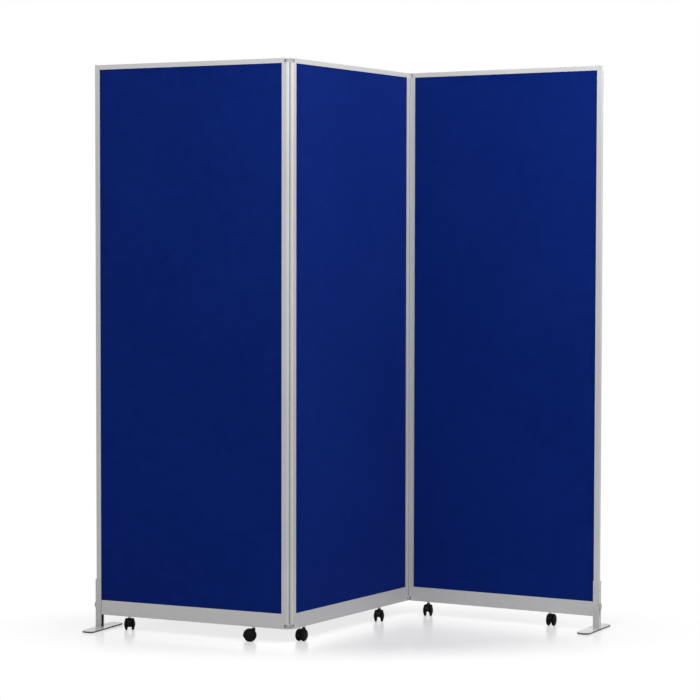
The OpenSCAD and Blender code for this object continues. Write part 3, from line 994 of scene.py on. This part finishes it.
def wheel_shape():
    """The wheel's mesh, with its axle along z."""
    shape = bmesh.new()
    rings = [ring_of_points(shape, radius, out) for radius, out in WHEEL_SECTION]
    for index, (first, second) in enumerate(zip(rings, rings[1:])):
        for step in range(TURN_STEPS):
            face = shape.faces.new(band(first, second, step))
            face.material_index = 1 if index in TREAD_BANDS else 0
    extra = bmesh.new()
    extra.from_mesh(rib_mesh)
    carried = {v: shape.verts.new(v.co) for v in extra.verts}
    for face in extra.faces:
        shape.faces.new([carried[v] for v in face.verts]).material_index = 0
    extra.free()
    bmesh.ops.recalc_face_normals(shape, faces=shape.faces)
    return shape


print("a wheel has", TURN_STEPS, "steps round")

# %% [markdown]
# The caster's heading and the wheel's side give the turn that lays a wheel down and carries it
# to its solid's place.

# %% Place the twelve wheels
CASTER_HEADING = {1: 91, 2: 190, 3: 237, 4: 264, 5: 260, 6: 65}
WHEEL_R = 0.0195
WHEEL_IN = 0.007
WHEEL_OUT = 0.0182


def make_wheel(number, letter):
    """One wheel, in the place of its solid."""
    side = 1 if letter == "a" else -1
    low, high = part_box(f"caster_{number}_wheel_{letter}")
    heading = math.radians(CASTER_HEADING[number])
    axle = Vector((-math.sin(heading), math.cos(heading), 0))
    centre = Vector(((low[0] + high[0]) / 2, (low[1] + high[1]) / 2, WHEEL_R))
    hub = centre - axle * side * (WHEEL_IN + WHEEL_OUT) / 2
    turn = Matrix.Rotation(heading, 4, "Z") @ Matrix.Rotation(-math.pi / 2 * side, 4, "X")
    shape = wheel_shape()
    shape.transform(Matrix.Translation(hub) @ turn)
    mesh = bpy.data.meshes.new(f"wheel_{number}{letter}")
    shape.to_mesh(mesh)
    shape.free()
    mesh.materials.append(caster_nylon)
    mesh.materials.append(tread_nylon)
    smooth(mesh, crease=40)
    wheel = link(f"wheel_{number}{letter}_disc", mesh)
    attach(wheel, f"wheel_{number}{letter}")
    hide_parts(f"caster_{number}_wheel_{letter}")
    return wheel


wheels = [make_wheel(number, letter) for number in CASTER_HEADING for letter in "ab"]
print("wheels", len(wheels), "faces each", len(wheels[0].data.polygons))

# %% [markdown]
# ## The feet's welds
# Each foot's sleeve stands on its floor plate and is welded round its outside. A weld bead is
# a row of overlapping puddles along a path, so a Geometry Nodes tree runs a wavy round
# section along the sleeve's outline.

# %% Build the weld tree
BEAD_STEP = 0.00035
BEAD_SIDES = 12
LEAST_SWELL = 0.82
SWELL_RISE = 0.22

beads, b_in, b_out = new_tree("weld_path", [
    ("Half Width", "Float", SLEEVE_HALF), ("Length", "Float", 0.018),
    ("Bead Radius", "Float", 0.0012), ("Puddle", "Float", 0.0011),
    ("Finish", "Material", None),
])
minus = maths(beads, "MULTIPLY", b_in["Half Width"], -1.0)
corners = [
    vector(beads, x=b_in["Length"], y=b_in["Half Width"]),
    vector(beads, y=b_in["Half Width"]),
    vector(beads, y=minus),
    vector(beads, x=b_in["Length"], y=minus),
]
path = node(beads, "GeometryNodeJoinGeometry")
for start, end in zip(corners, corners[1:]):
    side = node(beads, "GeometryNodeCurvePrimitiveLine", {"Start": start, "End": end})
    beads.links.new(side.outputs[0], path.inputs[0])
fine = node(beads, "GeometryNodeResampleCurve", mode="LENGTH",
            inputs={"Curve": path.outputs[0], "Length": BEAD_STEP}).outputs[0]
along = node(beads, "GeometryNodeSplineParameter").outputs["Length"]
turned = maths(beads, "DIVIDE", maths(beads, "MULTIPLY", along, math.pi), b_in["Puddle"])
wave = maths(beads, "ABSOLUTE", maths(beads, "SINE", turned))
swell = maths(beads, "ADD", LEAST_SWELL, maths(beads, "MULTIPLY", wave, SWELL_RISE))
section = node(beads, "GeometryNodeCurvePrimitiveCircle", {
    "Resolution": BEAD_SIDES, "Radius": b_in["Bead Radius"]}).outputs[0]
bead = node(beads, "GeometryNodeCurveToMesh", {
    "Curve": fine, "Profile Curve": section, "Fill Caps": True, "Scale": swell}).outputs[0]
finish_tree(beads, bead, b_in["Finish"], b_out)
print("weld_path has", len(beads.nodes), "nodes")

# %% Weld the two feet
WELD_LENGTH = 0.0195

for side in ("left", "right"):
    mesh = run_tree(f"{side}_foot_weld", beads, {
        "Half Width": SLEEVE_HALF, "Length": WELD_LENGTH, "Finish": weld_bead})
    shape = bmesh.new()
    shape.from_mesh(mesh)
    shape.transform(outer_end(side) @ Matrix.Translation((-SLEEVE_OUT, 0, PLATE_TOP)))
    bmesh.ops.recalc_face_normals(shape, faces=shape.faces)
    shape.to_mesh(mesh)
    shape.free()
    smooth(mesh, crease=60)
    weld = link(f"{side}_foot_weld", mesh)
    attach(weld, f"{side}_foot")
    print(weld.name, "faces", len(mesh.polygons))

# %% [markdown]
# ## The studio
# The studio is white: a pale glossy floor that fades to plain white away from the part, a
# white background, two soft lamps above in front and one behind. The floor's far part and the
# world show plain white to the camera and to reflections. As a source of soft light the world
# is dimmer, so that with the lamps a colour renders about as it is written.

# %% Lay the floor
FLOOR_HALF = 14.0
FLOOR_GREY = grey(0.74)
POOL_WIDE = 1.25
POOL_DEEP = 0.62
FADE_FROM = 0.45
NEAR_WHITE = 0.44
WHITE = (1, 1, 1, 1)


def in_sight(tree):
    """One for the camera and for reflections, and nought for soft light."""
    rays = node(tree, "ShaderNodeLightPath").outputs
    bounced = maths(tree, "MAXIMUM", rays["Is Glossy Ray"], rays["Is Transmission Ray"])
    return maths(tree, "MAXIMUM", rays["Is Camera Ray"], bounced)


def mix_shaders(tree, factor, first, second):
    """Mixes two shaders, and returns the mix."""
    return node(tree, "ShaderNodeMixShader", {0: factor, 1: first, 2: second}).outputs[0]


floor_mesh = bpy.data.meshes.new("floor")
floor_corners = [(-1, -1), (1, -1), (1, 1), (-1, 1)]
floor_mesh.from_pydata(
    [(x * FLOOR_HALF, y * FLOOR_HALF, 0) for x, y in floor_corners], [], [(0, 1, 2, 3)])
floor = link("floor", floor_mesh)
floor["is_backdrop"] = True

floor_paint, tree, shader, place = bare_finish(
    "floor_paint", Roughness=0.18, Base_Color=(*FLOOR_GREY, 1))
spot = node(tree, "ShaderNodeSeparateXYZ", {0: place["Object"]}).outputs
wide = maths(tree, "POWER", maths(tree, "DIVIDE", spot[0], POOL_WIDE), 2.0)
deep = maths(tree, "POWER", maths(tree, "DIVIDE", spot[1], POOL_DEEP), 2.0)
far = maths(tree, "SQRT", maths(tree, "ADD", wide, deep))
fade = spread(tree, far, FADE_FROM, 1.0, to_low=NEAR_WHITE, easing="SMOOTHSTEP")
glow = node(tree, "ShaderNodeEmission", {"Color": WHITE, "Strength": 1.0}).outputs[0]
share = maths(tree, "MULTIPLY", fade, in_sight(tree))
painted = mix_shaders(tree, share, shader.outputs[0], glow)
tree.links.new(painted, tree.nodes["Material Output"].inputs[0])
floor_mesh.materials.append(floor_paint)
print("floor is", 2 * FLOOR_HALF, "m wide")

# %% Light the studio
SOFT_LEVEL = 0.48

world = bpy.data.worlds.new("studio")
bpy.context.scene.world = world
world.use_nodes = True
tree = world.node_tree
tree.nodes.clear()
soft = node(tree, "ShaderNodeBackground", {"Color": WHITE, "Strength": SOFT_LEVEL}).outputs[0]
plain = node(tree, "ShaderNodeBackground", {"Color": WHITE, "Strength": 1.0}).outputs[0]
node(tree, "ShaderNodeOutputWorld", {0: mix_shaders(tree, in_sight(tree), soft, plain)})


def lamp(name, at, aim, size, power):
    """A square soft lamp that faces a point."""
    data = bpy.data.lights.new(name, "AREA")
    data.size = size
    data.energy = power
    thing = bpy.data.objects.new(name, data)
    bpy.context.scene.collection.objects.link(thing)
    thing.location = at
    thing.rotation_euler = (Vector(aim) - Vector(at)).to_track_quat("-Z", "Y").to_euler()


lamp("right_softbox", at=(1.7, -1.0, 2.6), aim=(0.5, 0.0, 1.2), size=1.0, power=41)
lamp("front_left_softbox", at=(-0.6, -2.2, 3.0), aim=(0.7, 0.0, 1.3), size=0.8, power=42)
lamp("back_softbox", at=(0.0, 3.8, 2.2), aim=(0.0, 0.0, 0.9), size=2.4, power=45)
bpy.context.scene.view_settings.view_transform = "Standard"

# %% [markdown]
# ## Check the size
# The box of the dressed part is measured, and its change from the box of the solids is printed
# in millimetres.

# %% Measure and finish
shown_low, shown_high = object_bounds()
growth = [a - b for a, b in zip((*shown_low, *shown_high), (*cad_low, *cad_high))]
print("size change in mm", [round(1000 * v, 2) for v in growth])
